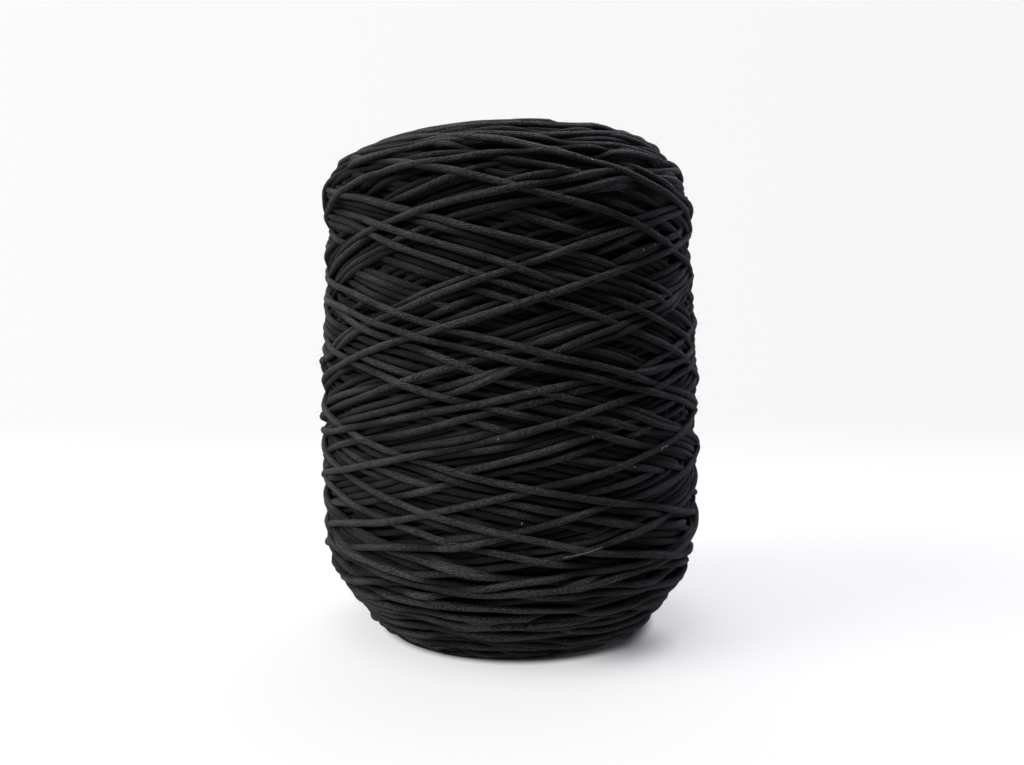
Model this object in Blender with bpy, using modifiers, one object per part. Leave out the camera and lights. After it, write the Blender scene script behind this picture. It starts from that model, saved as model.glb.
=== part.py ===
# A cone of thick, soft, near-black cotton cord: one length of cord wound crosswise to a
# nearly straight, slightly barrel-shaped package with a hole through it. It stands on its
# flat lower end. Metres, +Z up, the front towards -Y, the origin under its middle.
import math

import bpy
import numpy as np

# Driving dimensions
PACKAGE_HEIGHT = 0.1818  # flat lower end to the crown of the upper one, before the tilt
BELLY_RADIUS = 0.0687  # widest, under half way up, under the bundles
SHOULDER_RADIUS = 0.0657  # under the slope of the upper end
FOOT_RADIUS = 0.0667  # over the slope of the lower end
TOP_RIM_RADIUS = 0.0500  # inner end of the upper slope
BASE_RIM_RADIUS = 0.0465  # outer edge of the flat that it stands on
TOP_SLOPE_HEIGHT = 0.0175  # how far down the upper slope reaches
BASE_SLOPE_HEIGHT = 0.0270  # how far up the lower slope reaches
HOLE_RADIUS = 0.0170  # the winding's hole, where the spindle was
HOLE_EDGE_ROUND = 0.0025

END_TILT = 0.0015  # the upper end is this much higher at its rim to the right (+X)
LEAN = 0.0012  # the upper end sits this far to the left of the lower one

# Main turns: bundles of cords that ride over the rest, raised from the wound surface
BUNDLE_WIDTH = 0.0085
BUNDLE_RISE = 0.0021
BUNDLE_TAPER_DEG = 15  # a bundle sinks in over this much of its run, at each end
MOST_RISE = 0.0034  # what many crossing bundles come near to

# Under the main turns, even families of bundles climb and fall round the whole side
FAMILY_BUNDLES = 5  # of each kind
FAMILY_TURNS = 1.55  # from one end of the side to the other
FAMILY_FOOT_MM = 25
FAMILY_HEAD_MM = 163
FAMILY_UNEVEN_DEG = (0, 14, -9, 20, -16)  # how far each is off its even place

# Uneven winding: (name, waves round, waves up, depth in metres, turned by degrees)
UNEVENNESS = (
    ("out of round", 2, 0.5, 0.0004, 30),
    ("slow swell", 3, 1.5, 0.0003, 100),
    ("short swell", 5, 2.5, 0.0003, 210),
)

STEPS_ROUND = 72

# The outline turned round the axis, from the hole's upper edge out over the top, down the
# side and in under the base: (place, radius, height, rows of faces down to the next place)
OUTLINE = (
    ("hole upper edge", HOLE_RADIUS, PACKAGE_HEIGHT - 2 * HOLE_EDGE_ROUND, 2),
    ("inner crown", HOLE_RADIUS + 0.0080, PACKAGE_HEIGHT - 0.0008, 1),
    ("crown", 0.5 * (HOLE_RADIUS + TOP_RIM_RADIUS) + 0.0030, PACKAGE_HEIGHT, 2),
    ("top rim", TOP_RIM_RADIUS, PACKAGE_HEIGHT - 0.0035, 5),
    ("upper slope", SHOULDER_RADIUS - 0.0060, PACKAGE_HEIGHT - 0.0105, 5),
    ("shoulder", SHOULDER_RADIUS, PACKAGE_HEIGHT - TOP_SLOPE_HEIGHT, 16),
    ("high side", SHOULDER_RADIUS + 0.0010, 0.1220, 14),
    ("belly", BELLY_RADIUS, 0.0740, 15),
    ("low side", FOOT_RADIUS + 0.0010, 0.0400, 5),
    ("foot", FOOT_RADIUS, BASE_SLOPE_HEIGHT, 5),
    ("lower slope", FOOT_RADIUS - 0.0080, 0.5 * BASE_SLOPE_HEIGHT + 0.0010, 5),
    ("base slope's end", BASE_RIM_RADIUS + 0.0035, 0.0030, 1),
)
# The flat ring and the hole's wall keep their corners: (place, radius, height)
FLAT_RING = (
    ("base rim", BASE_RIM_RADIUS, 0.0),
    ("ring's middle", 0.5 * (HOLE_RADIUS + BASE_RIM_RADIUS), 0.0),
    ("ring's inner edge", HOLE_RADIUS + HOLE_EDGE_ROUND, 0.0),
    ("hole lower edge", HOLE_RADIUS, HOLE_EDGE_ROUND),
    ("hole wall", HOLE_RADIUS, 0.5 * PACKAGE_HEIGHT),
)

# The main turns, in degrees round from the front (-Y) towards +X and millimetres up:
# (start_deg, start_mm, end_deg, end_mm)
MAIN_TURNS = (
    (-60, 111, 130, 158),
    (-90, 133, 70, 92),
    (-60, 68, 200, 120),
    (-60, 81, 170, 32),
    (-30, 54, 190, 94),
    (-100, 92, 10, 122),
    (-60, 150, 120, 173),
    (-10, 170, 150, 126),
    (-200, 101, 0, 49),
    (-150, 62, 60, 101),
    (-120, 165, 0, 141),
    (-70, 34, 120, 49),
    (130, 143, 290, 105),
    (180, 161, 330, 120),
    (150, 90, 300, 54),
    (-160, 158, 150, 171),
    (40, 164, 370, 176),
    (-100, 9, 220, 18),
    (60, 15, 390, 26),
    (-60, 22, 270, 37),
)

CORD_COLOR = (0.0125, 0.0118, 0.0135, 1.0)


def clear_scene():
    for obj in list(bpy.data.objects):
        bpy.data.objects.remove(obj)


def smooth_step(value):
    """0 below 0, 1 above 1, and an even S between."""
    held = np.clip(value, 0.0, 1.0)
    return held * held * (3.0 - 2.0 * held)


def smooth_outline():
    """Points of the turned outline: a Catmull-Rom curve through the stations of OUTLINE,
    then the straight corners of FLAT_RING. Each point is (radius, height)."""
    stations = [(radius, height) for _, radius, height, _ in OUTLINE]
    stations.append((BASE_RIM_RADIUS, 0.0))
    rows = [count for _, _, _, count in OUTLINE]
    points = []
    for index, count in enumerate(rows):
        before = np.array(stations[max(index - 1, 0)])
        start = np.array(stations[index])
        end = np.array(stations[index + 1])
        after = np.array(stations[min(index + 2, len(stations) - 1)])
        for step in range(count):
            t = step / count
            points.append(
                0.5
                * (
                    2.0 * start
                    + (end - before) * t
                    + (2.0 * before - 5.0 * start + 4.0 * end - after) * t**2
                    + (3.0 * start - before - 3.0 * end + after) * t**3
                )
            )
    points.extend(np.array((radius, height)) for _, radius, height in FLAT_RING)
    return points


def turned_package():
    """The wound form before its bundles are raised: the closed outline, turned."""
    outline = [(radius, 0.0, height) for radius, height in smooth_outline()]
    edges = [(i, (i + 1) % len(outline)) for i in range(len(outline))]
    profile = bpy.data.meshes.new("outline")
    profile.from_pydata(outline, edges, [])
    turned = bpy.data.objects.new("turned_outline", profile)
    bpy.context.scene.collection.objects.link(turned)
    screw = turned.modifiers.new("turn", "SCREW")
    screw.axis = "Z"
    screw.angle = 2.0 * math.pi
    screw.steps = STEPS_ROUND
    screw.render_steps = STEPS_ROUND
    screw.merge_threshold = 0.0001
    bpy.context.view_layer.update()
    evaluated = turned.evaluated_get(bpy.context.evaluated_depsgraph_get())
    mesh = bpy.data.meshes.new_from_object(evaluated)
    bpy.data.objects.remove(turned)
    bpy.data.meshes.remove(profile)
    return mesh


def family_turns():
    """Rows like those of MAIN_TURNS for the even families, the climbing and the falling."""
    rows = []
    for index in range(FAMILY_BUNDLES):
        start = 360 * index / FAMILY_BUNDLES + FAMILY_UNEVEN_DEG[index]
        end = start + 360 * FAMILY_TURNS
        rows.append((start, FAMILY_FOOT_MM, end, FAMILY_HEAD_MM))
        rows.append((start, FAMILY_HEAD_MM, end, FAMILY_FOOT_MM))
    return rows


def bundle_rise(angle, height):
    """How far the bundles lift each point of the surface. A bundle's line climbs evenly from
    its start to its end, as often round as its sweep says. Its section is a cosine hump, and
    it sinks in at both ends."""
    rise = np.zeros(len(angle))
    taper = math.radians(BUNDLE_TAPER_DEG)
    for start_deg, start_mm, end_deg, end_mm in family_turns() + list(MAIN_TURNS):
        sweep = math.radians(end_deg - start_deg)
        climb = (end_mm - start_mm) / 1000.0
        flatten = math.cos(math.atan2(climb, sweep * BELLY_RADIUS))
        first_pass = np.mod(angle - math.radians(start_deg), 2.0 * math.pi)
        for turn in range(math.ceil(sweep / (2.0 * math.pi))):
            along = first_pass + 2.0 * math.pi * turn
            off = np.abs(height - start_mm / 1000.0 - climb * along / sweep) * flatten
            across = np.clip(off / (0.5 * BUNDLE_WIDTH), 0.0, 1.0)
            hump = 0.5 + 0.5 * np.cos(math.pi * across)
            ends = smooth_step(along / taper) * smooth_step((sweep - along) / taper)
            rise += BUNDLE_RISE * hump * ends
    return MOST_RISE * (1.0 - np.exp(-rise / MOST_RISE))


def uneven(angle, height):
    """The slow swells of a winding that isn't quite round: waves round times waves up."""
    swell = np.zeros(len(angle))
    for _, waves_round, waves_up, depth, turned_deg in UNEVENNESS:
        phase = np.radians(turned_deg)
        up = 2.0 * math.pi * waves_up * height / PACKAGE_HEIGHT
        swell += depth * np.cos(waves_round * angle + phase) * np.cos(up + phase)
    return swell


def raise_winding(mesh):
    """Moves the turned surface's points outwards along its normals for bundles and swells,
    tilts the upper end, and leans the package. The flat ring and the hole stay put."""
    count = len(mesh.vertices)
    points = np.empty(count * 3, np.float32)
    normals = np.empty(count * 3, np.float32)
    mesh.vertices.foreach_get("co", points)
    mesh.vertex_normals.foreach_get("vector", normals)
    points = points.reshape(-1, 3).astype(np.float64)
    normals = normals.reshape(-1, 3)
    radius = np.hypot(points[:, 0], points[:, 1])
    height = points[:, 2].copy()
    angle = np.arctan2(points[:, 0], -points[:, 1])
    off_hole = smooth_step((radius - HOLE_RADIUS) / (0.5 * (TOP_RIM_RADIUS - HOLE_RADIUS)))
    off_floor = smooth_step(height / (0.5 * BASE_SLOPE_HEIGHT))
    raised = (bundle_rise(angle, height) + uneven(angle, height)) * off_hole * off_floor
    points += normals * raised[:, None]
    slope_foot = PACKAGE_HEIGHT - TOP_SLOPE_HEIGHT
    at_top = smooth_step((height - slope_foot) / TOP_SLOPE_HEIGHT)
    points[:, 2] += END_TILT * at_top * points[:, 0] / TOP_RIM_RADIUS
    points[:, 0] -= LEAN * height / PACKAGE_HEIGHT
    for axis in (0, 1):
        middle = 0.5 * (points[:, axis].min() + points[:, axis].max())
        points[:, axis] -= middle
    mesh.vertices.foreach_set("co", points.ravel())
    mesh.update()


def cord_material():
    material = bpy.data.materials.new("cord")
    material.use_nodes = True
    shader = material.node_tree.nodes["Principled BSDF"]
    shader.inputs["Base Color"].default_value = CORD_COLOR
    shader.inputs["Roughness"].default_value = 0.92
    shader.inputs["Metallic"].default_value = 0.0
    return material


def build():
    clear_scene()
    collection = bpy.data.collections.new("cone_of_cord")
    bpy.context.scene.collection.children.link(collection)
    mesh = turned_package()
    mesh.name = "wound_cord"
    raise_winding(mesh)
    mesh.shade_smooth()
    mesh.set_sharp_from_angle(angle=math.radians(50.0))
    mesh.materials.clear()
    mesh.materials.append(cord_material())
    wound_cord = bpy.data.objects.new("wound_cord", mesh)
    collection.objects.link(wound_cord)


build()
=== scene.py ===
import math

import bpy
import numpy as np
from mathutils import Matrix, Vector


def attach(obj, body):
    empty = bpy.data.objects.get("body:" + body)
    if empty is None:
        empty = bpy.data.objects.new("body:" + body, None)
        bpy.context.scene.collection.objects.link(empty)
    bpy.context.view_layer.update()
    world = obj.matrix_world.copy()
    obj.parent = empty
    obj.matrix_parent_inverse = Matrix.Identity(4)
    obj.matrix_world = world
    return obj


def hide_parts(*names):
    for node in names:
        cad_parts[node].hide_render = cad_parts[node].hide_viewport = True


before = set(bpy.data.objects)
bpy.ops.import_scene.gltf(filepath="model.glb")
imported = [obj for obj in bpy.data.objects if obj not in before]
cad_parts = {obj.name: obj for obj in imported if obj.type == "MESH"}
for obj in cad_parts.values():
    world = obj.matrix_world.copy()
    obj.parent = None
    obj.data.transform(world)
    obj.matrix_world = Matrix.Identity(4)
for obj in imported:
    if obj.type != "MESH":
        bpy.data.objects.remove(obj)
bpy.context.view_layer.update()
mm = 0.001
fullTurn = 2.0 * math.pi
overFloor = 0.2 * mm  # hairs and the inner layers stay this far over it


def placed(name, data):
    # a new object of that mesh, light or camera, in the scene
    made = bpy.data.objects.new(name, data)
    bpy.context.scene.collection.objects.link(made)
    return made


def meshOf(name, points, faces):
    # a smooth mesh, in the scene
    mesh = bpy.data.meshes.new(name)
    mesh.from_pydata(points.reshape(-1, 3).tolist(), [], faces)
    mesh.shade_smooth()
    return placed(name, mesh)


def pointed(made, back):
    # turned so that it looks away from that direction
    made.rotation_euler = Vector(back).to_track_quat("Z", "Y").to_euler()


# the wound form, which the cords' outer side follows
woundForm = {
    "crown": 183.0 * mm,  # height of the upper end's crest, beside the hole
    "slopeFoot": 150.0 * mm,  # height above which the two tilts begin
    "endTilt": 2.0 * mm,  # the upper end is this much higher to the right
    "slopeTilt": 2.52 * mm,  # and the slope below it this much higher to the left
    "tiltRadius": 48.0 * mm,  # where these are measured
    "lean": 1.4 * mm,  # the upper end is this much further left than the base
    "sideFrom": 50.0 * mm,  # least radius that counts as the side
}
# radius and height in mm: down the hole from its middle, out under the base, up the side, over
# the top and down the hole to the same middle
outlineStations = (
    (13.5, 90.0), (13.5, 50.0), (13.5, 12.0), (13.6, 5.0), (16.0, 0.6), (22.0, 0.0),
    (32.0, 0.0), (43.5, 0.0), (48.6, 0.8), (52.6, 4.2), (56.3, 8.8), (60.7, 14.8),
    (64.5, 20.4), (68.1, 26.6), (69.7, 34.1), (70.1, 50.0), (70.5, 80.0), (69.4, 115.0),
    (67.6, 143.0), (68.4, 159.5), (66.7, 166.6), (62.8, 171.8), (57.2, 176.2), (53.2, 178.5),
    (47.3, 180.4), (40.0, 181.3), (32.0, 181.6), (26.0, 181.6), (20.0, 180.9), (15.6, 178.8),
    (13.7, 173.0), (13.5, 165.0), (13.5, 130.0), (13.5, 90.0),
)

# how the cord is laid
winding = {
    "seed": 11,
    "columns": 600,  # steps round of the height map
    "rowStep": 0.42 * mm,  # its step up the outline
    "innerStrokes": 164,  # climbs and falls under the main cords
    "stagger": 1 / 3,  # share of a turn from one stroke to the next of its kind
    "creep": 0.0455,  # and what it gains on that, radians
    "fallTurn": 0.1,  # share of a turn that a fall lies past its climb
    "unevenPhase": 0.035,  # spread of the strokes' angles in radians, and of their steepness
    "unevenSlope": 0.03,
    "unevenLow": 7.5 * mm,  # of the reversals at the foot and at the shoulder
    "unevenHigh": 6.5 * mm,
    "growLow": 0.9,  # how the reversals move out from the rims to the foot and the shoulder
    "growHigh": 1.7,
    "reversalTurn": 0.9,  # least angle that a reversal takes
    "reversalSoft": 0.5,  # how fast a cord levels out at an end, radians
    "wander": 0.25 * mm,  # how far a reversal wanders
    "waveTurn": 4.0,  # radians to a wave of that
    "lineSoft": 8,  # columns over which the line and the ride are evened
    "rideSoft": 4,
    "contactHalf": 1.13 * mm,  # half a pressed cord's width
    "contactRise": 0.65 * mm,  # what a pressed cord stands up over its middle
    "squish": 0.78 * mm,  # most that a cord sinks into what it rides over
    "slideMost": 2.7 * mm,
    "slideGain": 0.25 * mm,
    "slideRounds": 24,
    "slideSoft": 10,
    "feel": 0.38 * mm,  # how far aside it feels for a groove
    "spans": (1, 2, 3, 2, 1),  # gaps that a taut cord bridges, in columns
    "stretch": 1,
    "chunk": 180,  # columns laid at once, and how many more on both sides are looked at
    "overlap": 36,
    "levelReach": (13, 5),  # columns and rows over which the others' mean height is taken
}
# wind angle in degrees at heights in metres: flatter low down, steeper high up
windAngle = {"heights": (0.015, 0.03, 0.045, 0.06, 0.08, 0.095, 0.11, 0.125, 0.145, 0.155, 0.168, 0.18),
             "degrees": (7.0, 8.5, 11.0, 12.5, 13.0, 14.5, 17.0, 18.0, 17.0, 14.0, 10.5, 8.0)}
# how far the turns themselves are tilted, higher to the right, in degrees at those heights
windTilt = {"heights": (0.06, 0.10, 0.13, 0.155, 0.172), "degrees": (0.0, 0.6, 1.2, 1.0, 0.0)}

# the turns that show on the two ends and in the hole, all laid before the side's
endTurns = {
    "faceTurns": 28,
    "lowSlopeTurns": 26,
    "highSlopeTurns": 19,
    "faceSway": 3.6 * mm,  # how far a turn swings out and in again
    "holeTurns": 42,
    "holeReach": 46.0 * mm,  # how deep the hole's wall is laid from each end
    "period": 1.382,  # turns from one swing to the next
    "peak": 0.97,  # how sharply the hole's turns go back: under 1, where 1 is a point
    "uneven": 0.42 * mm,
    "driftSoft": 150,  # columns over which that is evened
    "faceStretch": 2,  # what the laying's reaches are multiplied by where a turn is short
    "wallStretch": 4,
}

# main cords, laid last: climbs 1 or falls -1, degrees round from the front, height there in mm,
# the height in mm at which it turns at the upper end, and how steep it is against the others
mainCords = (
    (1, 17, 139, 172, 1.10),
    (-1, -4, 142, 171, 1.00),
    (1, -18, 82, 174, 1.00),
    (-1, -21, 135, 167, 1.14),
    (1, -16, 124, 170, 1.04),
    (-1, -15, 101, 166, 1.13),
    (1, -9, 96, 175, 1.05),
    (-1, 23, 152, 175, 1.05),
    (1, 22, 109, 167, 1.12),
    (-1, 20, 81, 173, 1.00),
    (1, -8, 155, 177, 0.95),
    (-1, -21, 140, 168, 1.03),
    (1, 20, 65, 173, 1.10),
    (-1, 8, 61, 171, 1.00),
    (1, -9, 88, 171, 0.66),
    (-1, -40, 121, 166, 0.90),
    (1, 0, 120, 165, 0.96),
    (-1, -23, 54, 174, 1.14),
    (1, -5, 78, 172, 1.00),
    (-1, -21, 109, 168, 0.80),
)

cordBody = {
    "halfWidth": 1.17 * mm,  # of a cord pressed between others
    "halfHeight": 1.15 * mm,
    "freeWidth": 0.09 * mm,  # what a cord that lies free is wider each way
    "sides": 8,
    "ringStep": 2.2 * mm,
    "slub": 0.05,  # uneven thickness, share
    "slubWaves": ((370.0, 0.0), (208.0, 1.3), (85.0, 0.4)),  # radians a metre, and where each starts
    "proud": 1.25 * mm,  # a cord that rises more than this over the others' mean is drawn down
    "drawn": 0.35,  # to this share of what is over it
    "proudEnds": 0.55 * mm,  # the same two on the ends and their slopes
    "drawnEnds": 0.12,
    "slopeFull": 0.4,  # how far up or down a normal points where it counts as an end's
    "lookAt": (-0.9, -0.5, 0.0, 0.5, 0.9),  # shares of its half width where it is looked at
    "hiddenDepth": 0.25 * mm,  # a cord this far under the others doesn't show
    "deepUnder": 1.1 * mm,  # and this far under them it can't be seen at a slant either
    "nearReach": 4.5 * mm,  # what is made past the last of it that shows
    "farReach": 12.0 * mm,  # and at most as far as this while it isn't deep
    "shortest": 6.0 * mm,  # no stretch under this is made
    "pieceFaces": 92000,  # quads in each piece that the cord is cut up into
    "floorGap": 0.1 * mm,  # the cords under the base are pressed flat, down to this over the floor
    "floorPress": 0.8 * mm,
    "tuck": 2.5 * mm,  # how far the cord's last end dives under its neighbours
    "tuckRun": 18.0 * mm,
}


def smoothOnce(values, reach):
    # running mean over 2 * reach + 1 values, the ends held
    padded = np.pad(values, reach, "edge")
    total = np.cumsum(np.r_[0.0, padded])
    return (total[2 * reach + 1:] - total[:-2 * reach - 1]) / (2 * reach + 1)


def smoothTwice(values, reach):
    return smoothOnce(smoothOnce(values, reach), reach)


def outlineGrid(stations, step, bitPoints=40, soft=4):
    # Catmull-Rom curve through the stations, read at even steps along its length
    stations = np.array(stations) * mm
    ends = np.vstack([2 * stations[0] - stations[1], stations, 2 * stations[-1] - stations[-2]])
    t = np.linspace(0.0, 1.0, bitPoints, endpoint=False)[:, None]
    bits = []
    for a, b, c, d in zip(ends[:-3], ends[1:-2], ends[2:-1], ends[3:]):
        bits.append(0.5 * (2 * b + (c - a) * t + (2 * a - 5 * b + 4 * c - d) * t**2
                           + (3 * b - a - 3 * c + d) * t**3))
    curve = np.vstack(bits + [stations[-1:]])
    run = np.r_[0.0, np.cumsum(np.hypot(*np.diff(curve, axis=0).T))]
    places = np.arange(int(run[-1] / step)) * step
    radius = smoothOnce(np.interp(places, run, curve[:, 0]), soft)
    height = smoothOnce(np.interp(places, run, curve[:, 1]), soft)
    outR, outZ = np.gradient(height), -np.gradient(radius)
    size = np.hypot(outR, outZ)
    return {"s": places, "r": radius, "z": height, "outR": outR / size, "outZ": outZ / size,
            "rows": len(places), "step": step}


outline = outlineGrid(outlineStations, winding["rowStep"])
columnAngle = fullTurn / winding["columns"]
onSide = outline["r"] > woundForm["sideFrom"]
print("outline:", outline["rows"], "rows,", round(outline["s"][-1], 4), "m along")


def atPlace(place, values):
    # what a value that is known at every row of the outline is at that place along it
    return np.interp(place, outline["s"], values)


def placeAtHeight(height):
    # place along the outline at that height on the side
    return np.interp(height, outline["z"][onSide], outline["s"][onSide])


slope = outline["r"] * np.tan(np.radians(np.interp(outline["z"], windAngle["heights"],
                                                   windAngle["degrees"])))  # rise per radian
climb = np.r_[0.0, np.cumsum(winding["rowStep"] / slope[:-1])]  # radians taken to climb to each row


def placeAtRadius(radius, which):
    # first (0) or last (-1) place along the outline that is at least that far out
    return outline["s"][np.flatnonzero(outline["r"] > radius)[which]]


def tiltShift(place, angle):
    # how far a tilted turn is up the outline there: radius * tan(tilt) * sin(angle)
    tilt = np.interp(outline["z"], windTilt["heights"], windTilt["degrees"])
    rise = np.where(onSide, outline["r"] * np.tan(np.radians(tilt)), 0.0)
    return atPlace(place, rise) * np.sin(angle)


# places along the outline where lines of turns begin and end
places = {
    "baseMouth": placeAtRadius(15.5 * mm, 0),
    "baseRim": placeAtRadius(48.0 * mm, 0),
    "foot": placeAtHeight(25.0 * mm),
    "middle": placeAtHeight(60.0 * mm),
    "shoulder": placeAtHeight(165.5 * mm),
    "topRim": placeAtRadius(49.0 * mm, -1),
    "topMouth": placeAtRadius(15.5 * mm, -1),
}
middleClimb = atPlace(places["middle"], climb)


def strokePhases(plan, random):
    # (direction, angle at which the stroke passes the middle height, place of its upper end,
    # steepness), inner ones first, whose reversals move out as the package grows
    phases = []
    for index in range(plan["innerStrokes"]):
        pair, falls = divmod(index, 2)
        grown = (index / plan["innerStrokes"]) ** plan["growHigh"]
        high = places["topRim"] + (places["shoulder"] - places["topRim"]) * grown
        high += random.uniform(-1.0, 1.0) * plan["unevenHigh"]
        phase = fullTurn * (plan["stagger"] * pair + plan["fallTurn"] * falls) + pair * plan["creep"]
        phase += random.normal(0.0, plan["unevenPhase"])
        steep = 1.0 + random.normal(0.0, plan["unevenSlope"])
        phases.append((-1 if falls else 1, phase, high, steep))
    for direction, degrees, height, turnHeight, steep in mainCords:
        angle, seen = math.radians(degrees), placeAtHeight(height * mm)
        here = atPlace(seen - tiltShift(seen, angle), climb)
        phase = angle + direction * (middleClimb - here) / steep
        phases.append((direction, phase, placeAtHeight(turnHeight * mm), steep))
    return phases


def planStrokes(plan, random):
    # each stroke's start, end and slope, with whole turns added so that one follows the last
    phases = strokePhases(plan, random)
    strokes, last = [], None
    for index, (direction, phase, high, steep) in enumerate(phases):
        grown = (index / (len(phases) - 1)) ** plan["growLow"]
        low = places["baseRim"] + (places["foot"] - places["baseRim"]) * grown
        low += random.uniform(-1.0, 1.0) * plan["unevenLow"]
        first, final = (low, high) if direction > 0 else (high, low)
        before = abs(middleClimb - atPlace(first, climb)) / steep
        after = abs(atPlace(final, climb) - middleClimb) / steep
        if last is not None:
            phase += fullTurn * math.ceil((last + plan["reversalTurn"] - phase + before) / fullTurn)
        last = phase + after
        strokes.append({"start": phase - before, "phase": phase, "end": last, "first": first,
                        "final": final, "direction": direction, "steep": steep})
    return strokes


def sidePath(plan, random):
    # the one cord's line: place along the outline at each column it passes.
    # Strokes follow the climb table. Between them a reversal levels out by 1 - exp(-angle).
    strokes = planStrokes(plan, random)
    columns = np.arange(math.ceil(strokes[0]["start"] / columnAngle),
                        math.floor(strokes[-1]["end"] / columnAngle))
    angle = columns * columnAngle
    line = np.zeros(len(columns))
    soft = plan["reversalSoft"]
    for index, one in enumerate(strokes):
        inside = (angle >= one["start"]) & (angle <= one["end"])
        turned = middleClimb + one["direction"] * (angle[inside] - one["phase"]) * one["steep"]
        line[inside] = np.interp(turned, climb, outline["s"])
        if index + 1 == len(strokes):
            break
        after = strokes[index + 1]
        wide = after["start"] - one["end"]
        gap = (angle > one["end"]) & (angle < after["start"])
        x = angle[gap] - one["end"]
        u = x / wide
        outRate = atPlace(one["final"], slope) * one["steep"] * soft
        backRate = atPlace(after["first"], slope) * after["steep"] * soft
        level = outRate * (1.0 - np.exp(-x / soft)) + backRate * (1.0 - np.exp((x - wide) / soft))
        full = 1.0 - math.exp(-wide / soft)
        level -= backRate * full * (1.0 - u) + outRate * full * u
        share = wide / plan["waveTurn"]
        waves = fullTurn * u * max(1, round(share)) + random.uniform(0.0, fullTurn)
        drift = plan["wander"] * np.sin(math.pi * u) ** 2 * np.sin(waves) * min(1.0, share)
        line[gap] = one["final"] * (1.0 - u) + after["first"] * u + one["direction"] * level + drift
    line = smoothTwice(line, plan["lineSoft"])
    return columns, line + tiltShift(line, angle)


def roundPath(count, plan, random):
    # columns of that many turns, each turn's cosine, and a random wander, evened
    columns = np.arange(count * winding["columns"])
    turns = columns / winding["columns"]
    drift = np.interp(turns, np.arange(count + 1), random.normal(0.0, plan["uneven"], count + 1))
    return columns, np.cos(fullTurn * turns / plan["period"]), smoothOnce(drift, plan["driftSoft"])


def facePath(mouth, rim, count, plan, random):
    # rings round an end: their inner edge moves from the mouth to the rim while each turn
    # swings out by half a sway times 1 - cos, and in again
    columns, cosine, drift = roundPath(count, plan, random)
    edge = mouth + (rim - mouth) * columns / columns[-1]
    outwards = math.copysign(plan["faceSway"], rim - mouth)
    return columns, edge + 0.5 * outwards * (1.0 - cosine) + drift


def holePath(mouth, deep, plan, random):
    # zigzag of rounded triangles between an end of the hole and a depth in it
    columns, cosine, drift = roundPath(plan["holeTurns"], plan, random)
    wave = np.arcsin(plan["peak"] * cosine) / math.asin(plan["peak"])
    return columns, 0.5 * (mouth + deep) + 0.5 * (mouth - deep) * wave + drift


def sectionOver(line, lean, plan):
    # rows of the height map under a cord's width at each column, and how far off its middle
    reach = math.ceil(plan["contactHalf"] / outline["step"]) + 1
    at = line / outline["step"]
    rows = np.floor(at).astype(int)[:, None] + np.arange(-reach, reach + 2)
    off = (rows - at[:, None]) * (outline["step"] * lean[:, None]) / plan["contactHalf"]
    rise = plan["contactRise"] * np.sqrt(np.clip(1.0 - off * off, 0.0, 1.0))
    return np.clip(rows, 0, outline["rows"] - 1), rise, np.abs(off) >= 1.0


def restingHeight(heights, columns, line, lean, plan):
    # how high the middle of a cord rides: the most of height plus section over its width
    rows, rise, outside = sectionOver(line, lean, plan)
    rides = heights[columns[:, None], rows] + rise
    rides[outside] = -1.0
    return rides.max(1)


def layCord(heights, columns, line, plan):
    # lays the cord bit by bit on the height map. It slides off crests into grooves, rests on
    # what is there, bridges short gaps along straight chords, and adds its own section.
    slid, ridden = np.zeros(len(line)), np.zeros(len(line))
    bend = np.clip(outline["outR"] / outline["r"], 0.0, None)
    feel = plan["feel"]
    stretch = plan["stretch"]
    overlap = plan["overlap"] * stretch
    for begin in range(0, len(line), plan["chunk"]):
        low = max(0, begin - overlap)
        high = min(len(line), begin + plan["chunk"] + overlap)
        done = begin - low
        around = columns[low:high] % plan["columns"]
        base = line[low:high]
        sweep = atPlace(base, outline["r"]) * columnAngle
        step = np.hypot(np.gradient(base), sweep)
        lean = sweep / step
        shift = np.zeros(high - low)
        held = slid[low:begin] - base[:done]
        shift[:done] = held
        for _ in range(plan["slideRounds"]):
            above = restingHeight(heights, around, base + shift + feel, lean, plan)
            below = restingHeight(heights, around, base + shift - feel, lean, plan)
            tip = np.clip((above - below) / (2.0 * feel), -1.0, 1.0)
            shift = smoothOnce(shift - plan["slideGain"] * tip, plan["slideSoft"] * stretch)
            shift = np.clip(shift, -plan["slideMost"], plan["slideMost"])
            shift[:done] = held
        rests = restingHeight(heights, around, base + shift, lean, plan)
        ride = rests.copy()
        ride[:done] = ridden[low:begin]
        curve = atPlace(base, bend)
        for span in plan["spans"]:
            span *= stretch
            wide = np.pad(ride, span, "edge")
            chord = 0.5 * (wide[:-2 * span] + wide[2 * span:]) - 0.5 * curve * (span * step) ** 2
            ride = np.maximum(ride, chord)
        ride = smoothTwice(ride, plan["rideSoft"] * stretch)
        ride = np.maximum(ride, rests - plan["squish"])
        end = min(len(line), begin + plan["chunk"])
        new = slice(done, done + end - begin)
        slid[begin:end] = (base + shift)[new]
        ridden[begin:end] = ride[new]
        rows, rise, outside = sectionOver(slid[begin:end], lean[new], plan)
        top = ridden[begin:end, None] + rise
        top[outside] = -1.0
        cells = (around[new][:, None], rows)
        heights[cells] = np.maximum(heights[cells], top)
    return slid, ridden


def evened(heights, *reaches):
    # three box means, round the package and along the outline. Each swaps rows and columns.
    for reach, edge in tuple(zip(reaches, ("wrap", "edge"))) * 3:
        wide = np.pad(heights, ((reach, reach), (0, 0)), edge)
        total = np.cumsum(np.pad(wide, ((1, 0), (0, 0))), 0)
        heights = ((total[2 * reach + 1:] - total[:-2 * reach - 1]) / (2 * reach + 1)).T
    return heights


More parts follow.
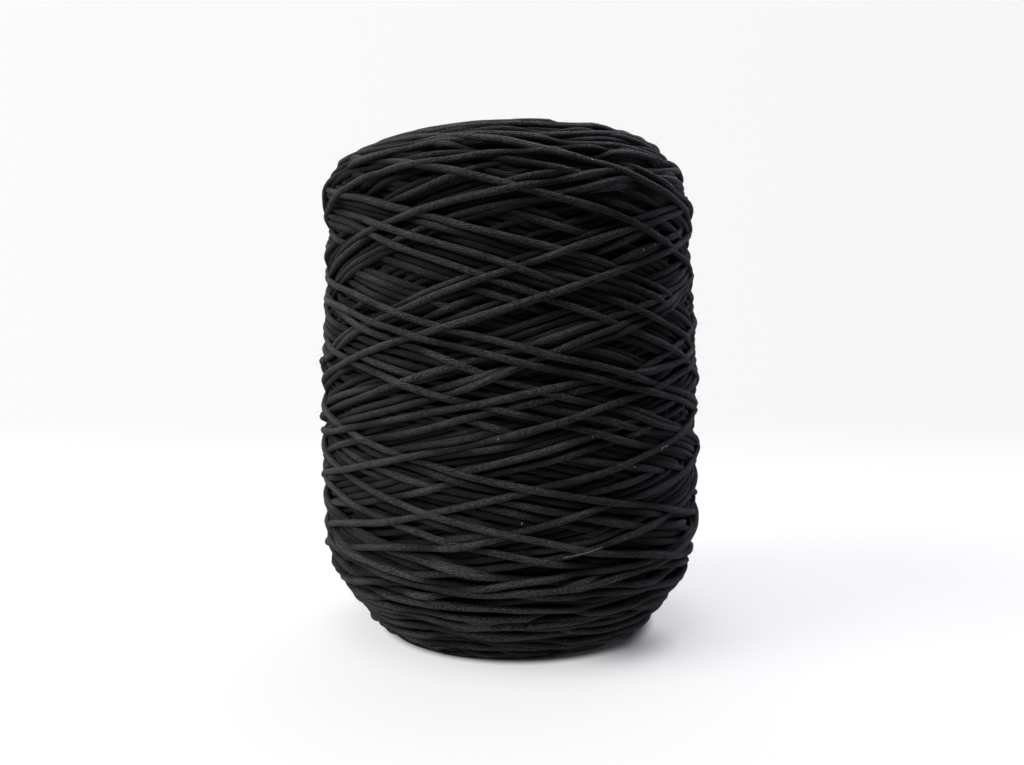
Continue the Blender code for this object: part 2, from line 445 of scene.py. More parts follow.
def readMap(grid, column, place):
    # bilinear value of a height map at fractional columns and places along the outline
    count = winding["columns"]
    row = np.clip(place / outline["step"], 0.0, outline["rows"] - 1.001)
    first, low = np.floor(column), np.floor(row).astype(int)
    part, up = column - first, row - low
    left = first.astype(int) % count
    right = (left + 1) % count
    return ((grid[left, low] * (1 - part) + grid[right, low] * part) * (1 - up)
            + (grid[left, low + 1] * (1 - part) + grid[right, low + 1] * part) * up)


def packagePoint(angle, place, lift):
    # point at that angle and place, lifted along the outline's normal, and its outward normal;
    # then the upper end's tilt, the slope's tilt and the lean
    r, z, outR, outZ = (atPlace(place, outline[key]) for key in ("r", "z", "outR", "outZ"))
    side, front = np.sin(angle), -np.cos(angle)
    radial = r + lift * outR
    point = np.stack([radial * side, radial * front, z + lift * outZ], -1)
    normal = np.stack([outR * side, outR * front, outZ], -1)
    crown, slopeFoot = woundForm["crown"], woundForm["slopeFoot"]
    share = np.clip((point[..., 2] - slopeFoot) / (crown - slopeFoot), 0.0, 1.0)
    rising = share * share * (3.0 - 2.0 * share)
    aside = point[..., 0] / woundForm["tiltRadius"]
    point[..., 2] += aside * woundForm["endTilt"] * rising
    point[..., 2] -= aside * woundForm["slopeTilt"] * np.sin(math.pi * share) ** 2
    point[..., 0] -= woundForm["lean"] * (point[..., 2] / crown - 0.5)
    return point, normal


def layPackage():
    # ends and hole first, then the side. Each path gets its columns, its slid place and height.
    random = np.random.default_rng(winding["seed"])
    heights = np.zeros((winding["columns"], outline["rows"]))
    reach = endTurns["holeReach"]
    wallPlan = {**winding, "stretch": endTurns["wallStretch"]}
    facePlan = {**winding, "stretch": endTurns["faceStretch"]}
    rings = (
        ("baseMouth", "baseRim", "faceTurns", facePlan),
        ("topMouth", "topRim", "faceTurns", facePlan),
        ("baseRim", "foot", "lowSlopeTurns", winding),
        ("topRim", "shoulder", "highSlopeTurns", winding),
    )
    jobs = [(holePath(places[mouth], places[mouth] + way * reach, endTurns, random), wallPlan)
            for mouth, way in (("baseMouth", -1.0), ("topMouth", 1.0))]
    jobs += [(facePath(places[first], places[last], endTurns[count], endTurns, random), plan)
             for first, last, count, plan in rings]
    jobs.append((sidePath(winding, random), winding))
    paths = []
    for (columns, line), plan in jobs:
        slid, ridden = layCord(heights, columns, line, plan)
        soft = plan["rideSoft"] * plan["stretch"]
        paths.append({"columns": columns, "place": smoothTwice(slid, soft),
                      "ride": smoothTwice(ridden, soft)})
        print("laid", len(columns) // winding["columns"], "turns of cord")
    return heights, paths


heights, paths = layPackage()
level = evened(heights, *winding["levelReach"])


def tubeLine(path):
    # middle line of the cord in space, its outward normals and its length so far
    columns, place = path["columns"], path["place"]
    lift = path["ride"] - readMap(level, columns.astype(float), place)
    free = np.clip(lift / cordBody["proud"], 0.0, 1.0)
    upwards = np.abs(atPlace(place, outline["outZ"]))
    sloping = np.clip(upwards / cordBody["slopeFull"], 0.0, 1.0)
    proud, drawn = (cordBody[key] + (cordBody[key + "Ends"] - cordBody[key]) * sloping
                    for key in ("proud", "drawn"))
    lift -= np.maximum(lift - proud, 0.0) * (1.0 - drawn) + 0.5 * winding["contactRise"]
    centre, normal = packagePoint(columns * columnAngle, place, lift)
    along = np.r_[0.0, np.cumsum(np.linalg.norm(np.diff(centre, axis=0), axis=1))]
    ending = np.clip(1.0 - (along[-1] - along) / cordBody["tuckRun"], 0.0, 1.0)
    centre -= normal * (cordBody["tuck"] * ending * ending)[:, None]
    return centre, normal, along, free, lift


def shownRuns(path, along, plan):
    # (first, last) samples of every stretch that later turns don't hide, and a little more.
    # The more goes on while the cord is not deep, so that no end shows at a slant.
    columns, place = path["columns"].astype(float), path["place"]
    shown = np.zeros(len(columns), bool)
    shallow = np.zeros(len(columns), bool)
    for share in plan["lookAt"]:
        own = path["ride"] + winding["contactRise"] * math.sqrt(1.0 - share * share)
        top = readMap(heights, columns, place + share * winding["contactHalf"])
        shown |= own > top - plan["hiddenDepth"]
        shallow |= own > top - plan["deepUnder"]
    before = np.maximum.accumulate(np.where(shown, along, -np.inf))
    after = np.minimum.accumulate(np.where(shown, along, np.inf)[::-1])[::-1]
    away = np.minimum(along - before, after - along)
    made = (away < plan["nearReach"]) | (shallow & (away < plan["farReach"]))
    edges = np.flatnonzero(np.diff(np.r_[0, made.astype(int), 0]))
    return [(a, b - 1) for a, b in zip(edges[::2], edges[1::2])
            if along[b - 1] - along[a] > plan["shortest"]]


def tubeRings(paths, plan):
    # evenly spaced rings on every run: middle, normal, side, length so far, first ring of each
    found, starts = [], [0]
    for path in paths:
        centre, normal, along, free, lift = tubeLine(path)
        tangent = np.gradient(centre, axis=0)
        at = []
        for a, b in shownRuns(path, along, plan):
            count = max(3, round((along[b] - along[a]) / plan["ringStep"]) + 1)
            at.append(np.interp(np.linspace(along[a], along[b], count), along[a:b + 1],
                                np.arange(a, b + 1)))
            starts.append(starts[-1] + count)
        if not at:  # all of it lies under later turns
            continue
        at = np.concatenate(at)
        low = np.minimum(np.floor(at).astype(int), len(along) - 2)
        part = (at - low)[:, None]
        values = np.hstack([centre, normal, tangent, np.stack([along, free, lift], -1)])
        found.append(values[low] * (1.0 - part) + values[low + 1] * part)
    found = np.vstack(found)
    centre, normal, tangent = found[:, :3], found[:, 3:6], found[:, 6:9]
    tangent = tangent / np.linalg.norm(tangent, axis=1)[:, None]
    normal = normal - tangent * (normal * tangent).sum(1)[:, None]
    normal /= np.linalg.norm(normal, axis=1)[:, None]
    return {"centre": centre, "normal": normal, "side": np.cross(normal, tangent),
            "length": found[:, 9], "free": found[:, 10], "lift": found[:, 11],
            "starts": np.array(starts)}


def tubeMesh(name, rings, starts, plan):
    # rings of an ellipse's points joined into closed tubes, with a map: round, and length
    centre, normal, side, length = (rings[key] for key in ("centre", "normal", "side", "length"))
    sides = plan["sides"]
    corner = np.arange(sides)
    turn = corner * fullTurn / sides
    waves = sum(np.sin(length * fast + first) for fast, first in plan["slubWaves"])
    slub = 1.0 + plan["slub"] * waves / 2.0
    wide = (plan["halfWidth"] + plan["freeWidth"] * rings["free"]) * slub
    tall = plan["halfHeight"] * slub
    points = (centre[:, None] + side[:, None] * (wide[:, None] * np.cos(turn))[..., None]
              + normal[:, None] * (tall[:, None] * np.sin(turn))[..., None])
    # under the knee, z is gap + press * exp((z - knee) / press)
    knee = plan["floorGap"] + plan["floorPress"]
    under = np.minimum(points[..., 2] - knee, 0.0)
    points[..., 2] -= under - plan["floorPress"] * (np.exp(under / plan["floorPress"]) - 1.0)
    ring = np.arange(len(centre) - 1)
    ring = ring[~np.isin(ring + 1, starts[1:-1])]
    here = ring[:, None] * sides + corner
    there = ring[:, None] * sides + (corner + 1) % sides
    quads = np.stack([here, there, there + sides, here + sides], -1).reshape(-1, 4)
    firsts, lasts = starts[:-1], starts[1:] - 1
    capLow = firsts[:, None] * sides + corner[::-1]
    capHigh = lasts[:, None] * sides + corner
    made = meshOf(name, points, quads.tolist() + capLow.tolist() + capHigh.tolist())
    quadMap = ((corner[:, None] + [0, 1, 1, 0]) / sides, length[ring[:, None] + [0, 0, 1, 1]][:, None])
    capMap = (corner / sides, length[np.r_[firsts, lasts]][:, None])
    spots = [np.stack(np.broadcast_arrays(*one), -1).ravel() for one in (quadMap, capMap)]
    made.data.uv_layers.new(name="alongCord").uv.foreach_set("vector", np.concatenate(spots))
    # each ring's lift over the others, which the cord's material turns into painted shade on deep turns
    depth = made.data.attributes.new("lift", "FLOAT", "POINT")
    depth.data.foreach_set("value", np.repeat(rings["lift"] / mm, sides))
    return made


def supply(tree, socket, value):
    # links another node's socket to this one, or sets its value
    if isinstance(value, Sock):
        tree.links.new(value.socket, socket)
    else:
        socket.default_value = value


class Sock:
    # a socket that Python's operators join through Math nodes
    def __init__(self, tree, socket):
        self.tree, self.socket = tree, socket

    def math(self, operation, *others):
        node = self.tree.nodes.new("ShaderNodeMath")
        node.operation = operation
        for index, value in enumerate((self,) + others):
            supply(self.tree, node.inputs[index], value)
        return Sock(self.tree, node.outputs[0])

    def __add__(self, other):
        return self.math("ADD", other)

    def __mul__(self, other):
        return self.math("MULTIPLY", other)

    def __sub__(self, other):
        return self.math("SUBTRACT", other)


class Finish:
    # a material's nodes: node() takes a type, its settings, then its sockets' values or links
    def __init__(self, name):
        self.material = bpy.data.materials.new(name)
        self.material.use_nodes = True
        self.tree = self.material.node_tree
        self.shader = self.tree.nodes["Principled BSDF"]

    def node(self, kind, settings, inputs, output=0):
        made = self.tree.nodes.new("ShaderNode" + kind)
        for key, value in settings.items():
            setattr(made, key, value)
        for key, value in inputs.items():
            supply(self.tree, made.inputs[key], value)
        return Sock(self.tree, made.outputs[output])

    def smooth(self, value, start, end, low=0.0, high=1.0, kind="SMOOTHSTEP"):
        # goes from low to high while the value goes from start to end
        ends = {"From Min": start, "From Max": end, "To Min": low, "To Max": high}
        return self.node("MapRange", {"interpolation_type": kind}, {"Value": value, **ends})

    def mix(self, share, first, second):
        # from the first colour to the second
        return self.node("Mix", {"data_type": "RGBA"}, {"Factor": share, "A": first, "B": second}, 2)

    def noise(self, place, fine, detail, roughness=0.5):
        inputs = {"Vector": place, "Scale": fine, "Detail": detail, "Roughness": roughness}
        return self.node("TexNoise", {}, inputs)

    def bump(self, distance, height):
        return self.node("Bump", {}, {"Strength": 1.0, "Distance": distance, "Height": height})

    def part(self, vector, index):
        return self.node("SeparateXYZ", {}, {"Vector": vector}, index)

    def feed(self, **inputs):
        for key, value in inputs.items():
            supply(self.tree, self.shader.inputs[key.replace("_", " ")], value)


cordFinish = {
    "dark": (0.0004, 0.00035, 0.0005, 1.0),
    "light": (0.0415, 0.0377, 0.0448, 1.0),
    "paintedGrooveShade": 0.18,  # painted shade: what is left of the light tone down at a cord's two sides and in the grooves between cords
    "paintedDeepShade": 0.06,  # and painted shade on turns that lie deep under the others, darkened as if in their shadow
    "crest": (-0.1, 0.85),  # how high on the cord's section that painted shade ends and the full tone begins
    "outer": (-1.2, 0.5),  # how high over the others, in mm, that painted shade on deep turns ends and the full tone begins
    "roughness": 0.74,
    "streakRoughness": 0.12,
    "specular": 0.10,
    "sheen": 0.02,
    "sheenRoughness": 0.45,
    "strands": 10.0,  # yarns seen round the cord
    "strandWander": 11.0,  # how far they wander, radians
    "twistLength": 20.0 * mm,  # one turn of the twist
    "yarnDepth": 0.38 * mm,
    "noiseRoughness": 0.6,
    # noises: how fine round the cord, how fine along it, how much detail
    "wander": (1.1, 500.0, 3.0),
    "streak": (5.0, 600.0, 3.0),
    "fine": (14.0, 1560.0, 2.0),
    # noises in space: how fine, how much detail
    "patch": (85.0, 3.0),
    "speck": (1560.0, 2.0),
    # how much of each goes into the tone, what is added to it, and into the relief
    "tone": {"ridge": 0.55, "streak": 2.4, "fine": 1.8, "patch": 1.0, "speck": 1.8, "added": 0.20},
    "relief": {"ridge": 0.70, "streak": 1.0, "fine": 0.5},
    "pale": (0.60, 0.78),  # the speck noise at which pale specks begin, and are full
    "paleTone": 1.1,
}


def cordMaterial(plan):
    # fibres run along "round + length / twist": ridges for the yarns, streaky noise for the
    # fibres, both in the bump, the colour and the roughness
    finish = Finish("soft_black_cord")
    uv = finish.node("UVMap", {"uv_map": "alongCord"}, {})
    roundPart, length = finish.part(uv, 0), finish.part(uv, 1)
    turn = (roundPart + length * (1.0 / plan["twistLength"])) * fullTurn
    across = turn.math("COSINE")
    up = turn.math("SINE")

    def streaks(fineness, along, detail):
        # noise drawn out along the fibres: the circle is "fineness" wide, the length shrunk
        spot = {"X": across * fineness, "Y": up * fineness, "Z": length * along}
        return finish.noise(finish.node("CombineXYZ", {}, spot), 1.0, detail, plan["noiseRoughness"])

    wander = streaks(*plan["wander"]) * plan["strandWander"]
    ridge = (turn * plan["strands"] + wander).math("SINE") * 0.5 + 0.5
    streak = streaks(*plan["streak"])
    fine = streaks(*plan["fine"])
    place = finish.node("TexCoord", {}, {}, 3)
    patch = finish.noise(place, *plan["patch"])
    speck = finish.noise(place, *plan["speck"])
    share = plan["tone"]
    tone = ridge * share["ridge"] + (streak - 0.5) * share["streak"] + (fine - 0.5) * share["fine"]
    tone = tone + (patch - 0.5) * share["patch"] + (speck - 0.5) * share["speck"] + share["added"]
    # painted shade: the cord's colour is darkened towards its two sides, where shade falls in the
    # grooves
    crest = finish.smooth((roundPart * fullTurn).math("SINE"), *plan["crest"], plan["paintedGrooveShade"])
    lift = finish.node("Attribute", {"attribute_name": "lift"}, {}, 2)
    # painted shade: turns lying deep under the others get a darker colour, from their lift
    outer = finish.smooth(lift, *plan["outer"], plan["paintedDeepShade"])
    pale = finish.smooth(speck, *plan["pale"], 0.0, plan["paleTone"], "LINEAR")
    colour = finish.mix((tone * crest + pale) * outer, plan["dark"], plan["light"])
    share = plan["relief"]
    relief = ridge * share["ridge"] + streak * share["streak"] + fine * share["fine"]
    finish.feed(Base_Color=colour, Roughness=streak * plan["streakRoughness"] + plan["roughness"],
                Normal=finish.bump(plan["yarnDepth"], relief), Sheen_Weight=plan["sheen"],
                Sheen_Roughness=plan["sheenRoughness"], Specular_IOR_Level=plan["specular"])
    return finish.material


def dressPiece(piece, material):
    piece.data.materials.append(material)
    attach(piece, "root")
    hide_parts("wound_cord")


cordMade = cordMaterial(cordFinish)
rings = tubeRings(paths, cordBody)
starts = rings["starts"]
pieceOf = starts[:-1] // (cordBody["pieceFaces"] // cordBody["sides"])
for index in range(pieceOf.max() + 1):
    chosen = np.flatnonzero(pieceOf == index)
    low, high = starts[chosen[0]], starts[chosen[-1] + 1]
    part = {key: values[low:high] for key, values in rings.items() if key != "starts"}
    firsts = starts[chosen[0]:chosen[-1] + 2] - low
    tube = tubeMesh("turns_" + str(index + 1), part, firsts, cordBody)
    dressPiece(tube, cordMade)
print("cord:", len(starts) - 1, "stretches,", starts[-1], "rings,", pieceOf.max() + 1, "pieces")


fluff = {
    "seed": 3,
    "hairs": 5600,
    "liftLeast": -0.8 * mm,  # of the cords that they grow on, against the others
    "shortest": 0.6 * mm,
    "longest": 2.2 * mm,
    "thick": 0.042 * mm,  # at the root
    "thinning": 0.66,  # share of it that is gone at the tip
    "points": 4,
    "rootTurn": (0.15, 0.85),  # where it leaves the cord's outer half, in half turns
    "alongPart": 0.8,  # its first direction's parts: along the cord, outwards, any way
    "outPart": (0.2, 0.9),
    "anyPart": 0.25,
    "curl": 0.48,  # its bend's parts: any way, outwards
    "curlOut": 0.2,
    "sunk": 0.12 * mm,
    "tone": (0.040, 0.037, 0.041, 1.0),
}

# pale lint: degrees round from the front, height in mm, length in mm
lintSpots = (
    (44.8, 143.9, 0.8),
    (44.2, 139.9, 0.7),
    (39.5, 138.6, 0.5),
    (42.5, 162.0, 0.6),
    (-57.5, 162.5, 0.6),
    (21.1, 78.2, 0.5),
    (-1.7, 78.1, 0.5),
    (46.7, 72.4, 1.2),
    (44.9, 71.2, 0.9),
    (33.9, 67.5, 0.6),
    (3.6, 52.4, 0.7),
    (22.7, 166.5, 0.6),
    (51.4, 162.0, 0.5),
    (13.9, 32.0, 0.7),
)

# pale straws caught between the turns: from and to, in degrees and mm of height, then thickness
straws = (
    (14.5, 41.1, 23.8, 43.7, 0.20),
    (27.7, 30.6, 29.6, 33.4, 0.13),
)

caught = {
    "seed": 8,
    "near": 2.0 * mm,  # of the cords this near, the one furthest out holds it
    "over": 0.1 * mm,  # how far over that cord it lies, and a straw this much more
    "strawOver": 0.15 * mm,
    "strawPoints": 8,
    "strawTone": (0.125, 0.12, 0.10, 1.0),
    "lintPoints": 6,
    "lintThick": 0.19 * mm,
    "lintHook": 1.6,  # its bend, and how much lower its middle lies, in its lengths
    "lintSunk": 0.2,
    "lintTone": (0.42, 0.415, 0.43, 1.0),
}


def strandMesh(name, points, thick):
    # every row of points becomes a closed three-sided tube, as thick as stated at each point
    tangent = np.gradient(points, axis=1)
    tangent /= np.linalg.norm(tangent, axis=2)[..., None]
    odd = np.array([0.31, 0.17, 0.93])  # a direction that no strand has
    side = np.cross(tangent, odd)
    side /= np.linalg.norm(side, axis=2)[..., None]
    other = np.cross(tangent, side)
    turn = np.arange(3)[:, None] * fullTurn / 3
    ring = side[:, :, None] * np.cos(turn) + other[:, :, None] * np.sin(turn)
    corners = points[:, :, None] + ring * (0.5 * thick)[..., None, None]
    index = np.arange(corners.size // 3).reshape(corners.shape[:3])
    beside = np.roll(index, -1, 2)
    quads = np.stack([index[:, :-1], beside[:, :-1], beside[:, 1:], index[:, 1:]], -1).reshape(-1, 4)
    ends = np.concatenate([index[:, 0, ::-1], index[:, -1]])
    return meshOf(name, corners, quads.tolist() + ends.tolist())


def hairPoints(plan):
    # each leaves its cord low along the yarn: root + length * (way * t + bend * t * t)
    random = np.random.default_rng(plan["seed"])
    count = plan["hairs"]
    picked = random.choice(np.flatnonzero(rings["lift"] > plan["liftLeast"]), count)
    centre, normal, side = (rings[key][picked] for key in ("centre", "normal", "side"))
    along = np.cross(side, normal)
    around = random.uniform(*plan["rootTurn"], count)[:, None] * math.pi
    out = side * np.cos(around) + normal * np.sin(around)
    root = centre + side * np.cos(around) * cordBody["halfWidth"]
    root += normal * np.sin(around) * cordBody["halfHeight"] - out * plan["sunk"]
    way = along * random.choice((-1.0, 1.0), (count, 1)) * plan["alongPart"]
    way += out * random.uniform(*plan["outPart"], (count, 1))
    way += random.normal(0.0, plan["anyPart"], (count, 3))
    bend = random.normal(0.0, plan["curl"], (count, 3)) + plan["curlOut"] * out
    size = random.uniform(plan["shortest"], plan["longest"], (count, 1, 1))
    t = np.linspace(0.0, 1.0, plan["points"])[:, None]
    points = root[:, None] + size * (way[:, None] * t + bend[:, None] * t * t)
    points[..., 2] = np.maximum(points[..., 2], overFloor)
    thick = plan["thick"] * (1.0 - plan["thinning"] * t[:, 0]) * np.ones((count, 1))
    return points, thick


def outermost(degrees, height):
    # the outer side of the cord that lies on top at that angle and height
    angle = math.radians(degrees)
    centre = rings["centre"]
    arc = (np.arctan2(centre[:, 0], -centre[:, 1]) - angle) * np.hypot(centre[:, 0], centre[:, 1])
    far = np.hypot(arc, centre[:, 2] - height)
    near = np.flatnonzero(far < caught["near"])
    best = near[np.argmax(np.hypot(centre[near, 0], centre[near, 1]) - far[near])]
    return centre[best] + rings["normal"][best] * (cordBody["halfHeight"] + caught["over"])


def lintPoints(spots, plan):
    # each a small hook of fibre on its cord: way * u + bend * (hook * u * u - sunk)
    random = np.random.default_rng(plan["seed"])
    u = np.linspace(-0.5, 0.5, plan["lintPoints"])[:, None]
    points = []
    for degrees, height, size in spots:
        way, bend = random.normal(0.0, 1.0, (2, 3))
        way, bend = way / np.linalg.norm(way), bend / np.linalg.norm(bend)
        hook = way * u + bend * (u * u * plan["lintHook"] - plan["lintSunk"])
        points.append(outermost(degrees, height * mm) + size * mm * hook)
    return np.array(points)


def strawPoints(rows, plan):
    # straight from one place to the other, as far out as the cords' tops along it
    points = []
    share = np.linspace(0.0, 1.0, plan["strawPoints"])
    for degreesFrom, heightFrom, degreesTo, heightTo, _ in rows:
        line = np.array([outermost(degreesFrom + (degreesTo - degreesFrom) * s,
                                   (heightFrom + (heightTo - heightFrom) * s) * mm) for s in share])
        ways = line[0] + (line[-1] - line[0]) * share[:, None]
        reach = np.hypot(ways[:, 0], ways[:, 1])
        high = np.maximum(np.hypot(line[:, 0], line[:, 1]), reach)
        high = smoothOnce(np.maximum(high, smoothOnce(high, 1)), 1) + plan["strawOver"]
        ways[:, :2] *= (high / reach)[:, None]
        points.append(ways)
    return np.array(points)


def plainMaterial(name, colour, roughness=0.7, specular=0.2):
    finish = Finish(name)
    finish.feed(Base_Color=colour, Roughness=roughness, Specular_IOR_Level=specular)
    return finish.material


hairs = strandMesh("fluff", *hairPoints(fluff))
dressPiece(hairs, plainMaterial("fluff_fibre", fluff["tone"]))
spots = lintPoints(lintSpots, caught)
lint = strandMesh("lint", spots, np.full(spots.shape[:2], caught["lintThick"]))
dressPiece(lint, plainMaterial("pale_lint", caught["lintTone"]))
lines = strawPoints(straws, caught)
straw = strandMesh("straws", lines, np.array([[row[4] * mm] * lines.shape[1] for row in straws]))
dressPiece(straw, plainMaterial("pale_straw", caught["strawTone"]))
print("fibres:", len(hairs.data.polygons), "faces of fluff")


coreSkin = {
    "under": 1.1 * mm,  # under the lowest cord near by
    "aroundStep": 6,
    "alongStep": 6,
    "aroundNear": (-4, -2, 2, 4),  # columns and rows that are near by
    "alongNear": (-3, 3),
    "soft": 3,
    # painted shade: these tones are far darker than the cord's own, for the shade in the gaps
    "dark": (0.001, 0.001, 0.001, 1.0),
    "light": (0.004, 0.0036, 0.004, 1.0),
    "roughness": 0.95,
    "speck": (500.0, 3.0),  # how fine, how much detail
    "speckDepth": 0.3 * mm,
}


def skinMesh(plan):
    # grid of points round and along the outline, at the least height near by, less "under";
    # its two edges are joined down the hole's wall
    low = heights.copy()
    for shift in plan["aroundNear"]:
        low = np.minimum(low, np.roll(heights, shift, 0))
    for shift in plan["alongNear"]:
        low = np.minimum(low, np.roll(low, shift, 1))
    low = evened(low - level, plan["soft"], plan["soft"]) - plan["under"]
    rows = np.arange(0, outline["rows"], plan["alongStep"])
    turns = np.arange(0, winding["columns"], plan["aroundStep"])
    lift = low[np.ix_(turns, rows)]
    angle = turns[:, None] * columnAngle + 0.0 * rows
    point, _ = packagePoint(angle, outline["s"][rows] + 0.0 * angle, lift)
    point[..., 2] = np.maximum(point[..., 2], overFloor)
    index = np.arange(lift.size).reshape(lift.shape)
    beside, above = np.roll(index, -1, 0), np.roll(index, -1, 1)
    quads = np.stack([index, beside, np.roll(beside, -1, 1), above], -1).reshape(-1, 4)
    return meshOf("inner_layers", point, quads.tolist())


def skinMaterial(plan):
    # painted shade: hidden layers coloured far darker than the cord, seen only as dark at the bottom of
    # a gap, where shade falls
    finish = Finish("inner_layers_painted_shade")
    speck = finish.noise(finish.node("TexCoord", {}, {}, 3), *plan["speck"])
    finish.feed(Base_Color=finish.mix(speck, plan["dark"], plan["light"]),
                Roughness=plan["roughness"], Normal=finish.bump(plan["speckDepth"], speck))
    return finish.material


inner = skinMesh(coreSkin)
dressPiece(inner, skinMaterial(coreSkin))
print("inner layers made")


# a close camera at about 60% of the package's height, looking slightly down
viewPoint = {
    "distance": 345.0 * mm,  # from the package's axis
    "height": 111.3 * mm,
    "across": 0.9 * mm,
    "pitch": 3.2,  # degrees down
    "focalPixels": 889.0,
    "imageWidth": 1024,
    "sensorWidth": 36.0,  # in mm, as Blender takes it
    "clip": (0.01, 100.0),
}


def makeCamera(plan):
    lens = bpy.data.cameras.new("camera")
    lens.sensor_width = plan["sensorWidth"]
    lens.lens = plan["sensorWidth"] * plan["focalPixels"] / plan["imageWidth"]
    lens.clip_start, lens.clip_end = plan["clip"]
    camera = placed("camera", lens)
    camera.location = (plan["across"], -plan["distance"], plan["height"])
    down = math.radians(plan["pitch"])
    pointed(camera, (0.0, -math.cos(down), math.sin(down)))
    bpy.context.scene.camera = camera


# lamps: name, strength, how wide it looks, degrees round from the front, degrees up, colour
lamps = (
    ("overhead", 4.6, 40.0, -50.0, 74.0, (1.0, 0.985, 0.965)),
    ("key", 5.0, 28.0, -68.0, 38.0, (1.0, 0.97, 0.94)),
    ("fill", 1.8, 60.0, 121.0, 20.0, (0.60, 0.70, 1.0)),
    ("back", 4.6, 50.0, 172.0, 62.0, (0.95, 0.97, 1.0)),
)

studio = {
    "floorSize": 60.0,
    "wallAt": 8.0,  # the paper goes up the wall there
    "floorColour": (0.100, 0.100, 0.100, 1.0),
    "floorRoughness": 0.8,
    "glowLeft": (0.685, 0.685, 0.685, 1.0),  # keeps the floor pale in the soft shadow
    "glowRight": (0.640, 0.640, 0.658, 1.0),
    "farLeft": (0.965, 0.965, 0.965, 1.0),  # the paper well behind the cone gives its own light only
    "farRight": (0.925, 0.925, 0.935, 1.0),
    "sideFull": 0.55,  # x / (y + distance) at the right tone, and less that at the left one
    "leastAway": 0.1,
    "fade": (0.15, 0.80),  # how far back the far tones begin, and are full
    "contactAt": (0.003, 0.0005),  # dark contact round the foot, and the paler shade beside it
    "contact": (0.048, 0.0545),
    "paintedShadowAt": (0.040, -0.031),  # painted shadow: darkest part of the contact shadow, long along the foot's edge
    "paintedShadowWay": (0.61, 0.79),
    "paintedShadowLong": 0.024,
    "paintedShadowWide": 0.018,
    "paintedShadow": (-0.25, 1.25),
    "contactTone": (0.02, 0.02, 0.022, 1.0),
    "shadeAt": (0.024, 0.0),
    "shade": (0.030, 0.076),
    "shadeTone": 0.88,
    "roomSeen": (0.95, 0.95, 0.955, 1.0),
    "outskirts": (0.6, 2.0),  # where the paper takes the room's tone, out of the front view
    "outskirtsSlant": 0.6,
    "roomLight": (0.90, 0.93, 1.0, 1.0),
    "roomStrength": 0.075,
    "panelPower": 0.31,  # light that the paper before the cone gives back: a panel under it
    "panelAt": (-0.05, -0.17, -0.06),
    "panelTowards": (0.0, 0.0, 0.045),
    "panelSize": 0.20,
    "panelColour": (1.0, 0.98, 0.96),
}


def makeLamp(name, strength, wide, degreesRound, degreesUp, colour):
    around, raised = math.radians(degreesRound), math.radians(degreesUp)
    flat = math.cos(raised)
    lamp = bpy.data.lights.new(name, "SUN")
    lamp.energy = strength
    lamp.angle = math.radians(wide)
    lamp.color = colour
    pointed(placed(name, lamp), (flat * math.sin(around), -flat * math.cos(around), math.sin(raised)))


def makePanel(plan):
    lamp = bpy.data.lights.new("panel", "AREA")
    lamp.energy = plan["panelPower"]
    lamp.size = plan["panelSize"]
    lamp.color = plan["panelColour"]
    made = placed("panel", lamp)
    made.location = plan["panelAt"]
    pointed(made, Vector(plan["panelAt"]) - Vector(plan["panelTowards"]))


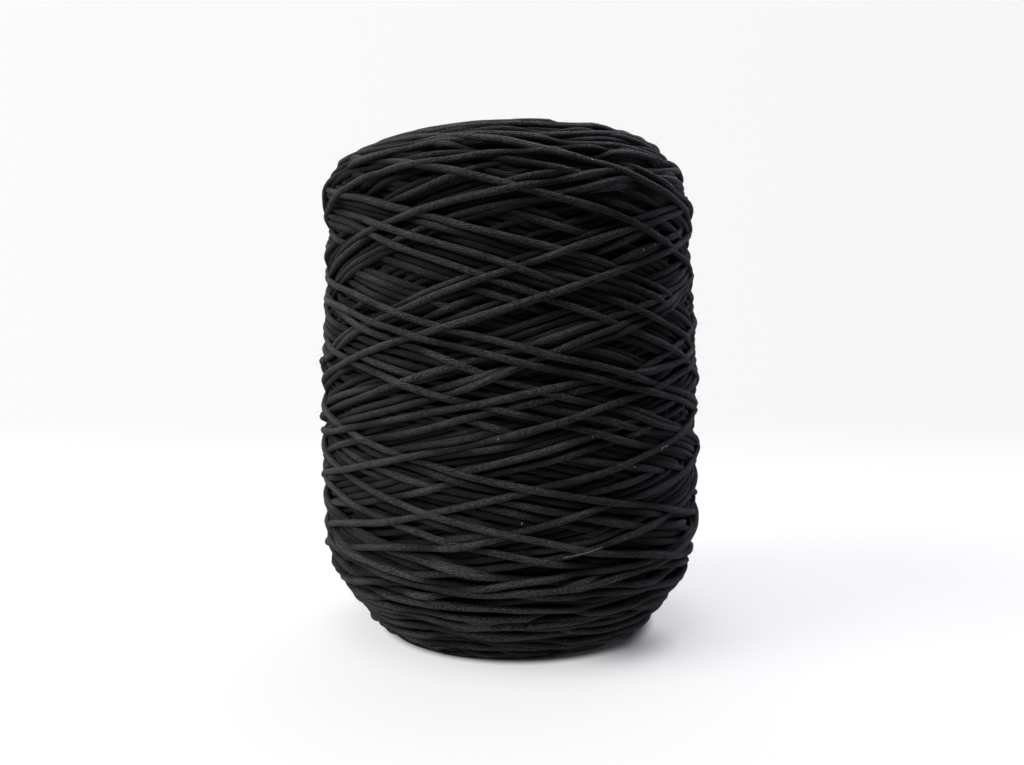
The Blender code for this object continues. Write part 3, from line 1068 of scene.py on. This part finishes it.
def paperMaterial(plan):
    # pale paper. Its tone goes from left to right by x / (y + distance), and behind the cone it
    # fades from lit paper to a plain glow of the same tone.
    finish = Finish("pale_floor")
    place = finish.node("TexCoord", {}, {}, 3)
    across, back = finish.part(place, 0), finish.part(place, 1)
    away = (back + viewPoint["distance"]).math("MAXIMUM", plan["leastAway"])
    share = finish.smooth(across.math("DIVIDE", away), -plan["sideFull"], plan["sideFull"],
                          kind="LINEAR")
    far = finish.smooth(back, *plan["fade"])
    glow = finish.mix(far, finish.mix(share, plan["glowLeft"], plan["glowRight"]),
                      finish.mix(share, plan["farLeft"], plan["farRight"]))
    outside = finish.smooth(across.math("ABSOLUTE") - back * plan["outskirtsSlant"],
                            *plan["outskirts"])
    glow = finish.mix(outside, glow, plan["roomSeen"])

    def lengthOf(first, second):
        return (first * first + second * second).math("SQRT")

    def distanceTo(spot):
        return lengthOf(across - spot[0], back - spot[1])

    # painted shadow on the paper: dark contact round the foot, the paler shade beside it, and its
    # darkest part to the front right
    contact = finish.smooth(distanceTo(plan["contactAt"]), *plan["contact"])
    shade = finish.smooth(distanceTo(plan["shadeAt"]), *plan["shade"], plan["shadeTone"])
    right, behind = across - plan["paintedShadowAt"][0], back - plan["paintedShadowAt"][1]
    way = plan["paintedShadowWay"]
    along = (right * way[0] + behind * way[1]) * (1.0 / plan["paintedShadowLong"])
    aside = (right * way[1] - behind * way[0]) * (1.0 / plan["paintedShadowWide"])
    paintedShadow = finish.smooth(lengthOf(along, aside), *plan["paintedShadow"])
    glow = finish.mix(contact * shade * paintedShadow, plan["contactTone"], glow)
    paper = finish.mix(far.math("MAXIMUM", outside), plan["floorColour"], (0.0, 0.0, 0.0, 1.0))
    finish.feed(Base_Color=paper, Roughness=plan["floorRoughness"], Specular_IOR_Level=0.0,
                Emission_Color=glow, Emission_Strength=1.0)
    return finish.material


def makeStudio(plan):
    # the paper, a floor and a far wall, then the room and its lamps
    half, wall = plan["floorSize"] / 2, plan["wallAt"]
    mesh = bpy.data.meshes.new("floor")
    corners = [(-half, -half, 0), (half, -half, 0), (half, wall, 0), (-half, wall, 0),
               (half, wall, half), (-half, wall, half)]
    mesh.from_pydata(corners, [], [(0, 1, 2, 3), (3, 2, 4, 5)])
    mesh.materials.append(paperMaterial(plan))
    floor = placed("floor", mesh)
    floor.visible_diffuse = False  # the panel stands for the light that it gives back
    floor.visible_shadow = False
    world = bpy.data.worlds.new("soft_room")
    bpy.context.scene.world = world
    world.use_nodes = True
    tree = world.node_tree
    background = tree.nodes["Background"]
    background.inputs["Color"].default_value = plan["roomLight"]
    background.inputs["Strength"].default_value = plan["roomStrength"]
    seen = tree.nodes.new("ShaderNodeBackground")
    seen.inputs["Color"].default_value = plan["roomSeen"]
    rays = tree.nodes.new("ShaderNodeLightPath")
    mix = tree.nodes.new("ShaderNodeMixShader")
    tree.links.new(rays.outputs["Is Camera Ray"], mix.inputs[0])
    tree.links.new(background.outputs[0], mix.inputs[1])
    tree.links.new(seen.outputs[0], mix.inputs[2])
    tree.links.new(mix.outputs[0], tree.nodes["World Output"].inputs["Surface"])
    for lamp in lamps:
        makeLamp(*lamp)
    makePanel(plan)
    bpy.context.scene.view_settings.view_transform = "Standard"


makeStudio(studio)
makeCamera(viewPoint)
print("studio and camera made")
